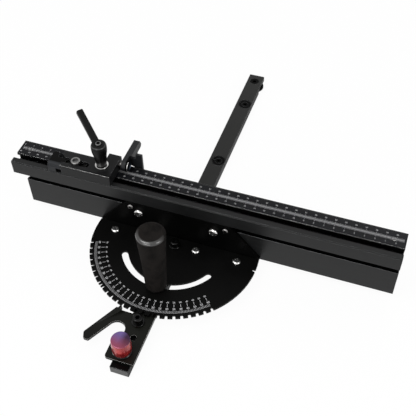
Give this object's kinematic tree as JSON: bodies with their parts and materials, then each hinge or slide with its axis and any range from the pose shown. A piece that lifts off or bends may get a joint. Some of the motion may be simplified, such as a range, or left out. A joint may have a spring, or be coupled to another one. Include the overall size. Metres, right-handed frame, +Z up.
{
  "type": "miter gauge",
  "caption": "Miter gauge with a half-round protractor head, foam handle, indexing lever, extruded fence with a ruler and a flip stop",
  "frame": {"origin": "Where the head's pivot axis meets the underside of the bar.", "axes": "X runs along the fence, Y along the bar towards the work, Z up."},
  "size_m": [0.4122, 0.45, 0.1306],
  "materials": {
    "black_anodised": "black anodised, satin",
    "foam": "matte closed-cell foam",
    "zinc_steel": "bright zinc plated",
    "scale_black": "black with a light printed scale",
    "red_anodised": "red anodised, glossy"
  },
  "bodies": {
    "bar": {"miter_bar": "black_anodised", "expansion_disc_1": "black_anodised", "expansion_disc_2": "black_anodised", "expansion_screw_1": "black_anodised", "expansion_screw_2": "black_anodised", "guide_washer": "black_anodised", "guide_screw": "black_anodised", "pivot_screw": "black_anodised", "handle_stud": "zinc_steel", "clamp_spacer": "zinc_steel", "index_washer": "zinc_steel", "index_screw": "black_anodised", "knob_stud": "zinc_steel"},
    "index_lever": {"index_lever": "black_anodised"},
    "knob": {"index_knob": "red_anodised"},
    "handle": {"handle_washer": "zinc_steel", "handle_core": "zinc_steel", "handle_grip": "foam"},
    "head": {"angle_bracket": "black_anodised", "protractor_plate": "black_anodised", "plate_screw_1": "zinc_steel", "plate_screw_2": "zinc_steel", "plate_screw_3": "zinc_steel", "plate_screw_4": "zinc_steel", "bracket_screw_left": "zinc_steel", "bracket_screw_right": "zinc_steel", "adjusting_screw_left": "zinc_steel", "adjusting_screw_right": "zinc_steel", "fence_board": "black_anodised", "fence_rail": "black_anodised", "ruler_strip": "scale_black", "rail_screw_1": "zinc_steel", "rail_screw_2": "zinc_steel", "rail_screw_3": "zinc_steel", "ruler_screw_left": "zinc_steel", "ruler_screw_right": "zinc_steel"},
    "stop": {"stop_block": "black_anodised", "stop_nut": "zinc_steel", "cursor_screw": "zinc_steel", "clamp_washer": "zinc_steel", "clamp_stud": "zinc_steel", "hinge_pin": "zinc_steel"},
    "cursor": {"cursor": "black_anodised"},
    "clamp_lever": {"clamp_lever": "black_anodised", "clamp_lever_screw": "zinc_steel"},
    "flip_arm": {"flip_arm": "black_anodised"}
  },
  "joints": [
    {"name": "head_swing", "type": "hinge", "parent": "bar", "child": "head", "pos_m": [0, 0, 0.0133], "axis": [0, 0, 1], "range_deg": [-60, 60]},
    {"name": "index_lever_swing", "type": "hinge", "parent": "bar", "child": "index_lever", "pos_m": [-0.0014, -0.0972, 0.0113], "axis": [0, 0, 1], "range_deg": [-5.6, 0]},
    {"name": "knob_spin", "type": "hinge", "parent": "bar", "child": "knob", "pos_m": [-0.0034, -0.1312, 0.024], "axis": [0, 0, 1], "range_deg": [0, 360]},
    {"name": "handle_spin", "type": "hinge", "parent": "bar", "child": "handle", "pos_m": [0, -0.0525, 0.058], "axis": [0, 0, 1], "range_deg": [0, 360]},
    {"name": "stop_slide", "type": "slide", "parent": "head", "child": "stop", "axis": [1, 0, 0], "range_m": [-0.035, 0.27]},
    {"name": "cursor_slide", "type": "slide", "parent": "stop", "child": "cursor", "axis": [1, 0, 0], "range_m": [-0.0065, 0]},
    {"name": "clamp_lever_turn", "type": "hinge", "parent": "stop", "child": "clamp_lever", "pos_m": [-0.0858, 0.0248, 0.09], "axis": [0, 0, 1], "range_deg": [0, 120]},
    {"name": "flip_arm_swing", "type": "hinge", "parent": "stop", "child": "flip_arm", "pos_m": [-0.065, 0.037, 0.0785], "axis": [1, 0, 0], "range_deg": [0, 110]}
  ]
}
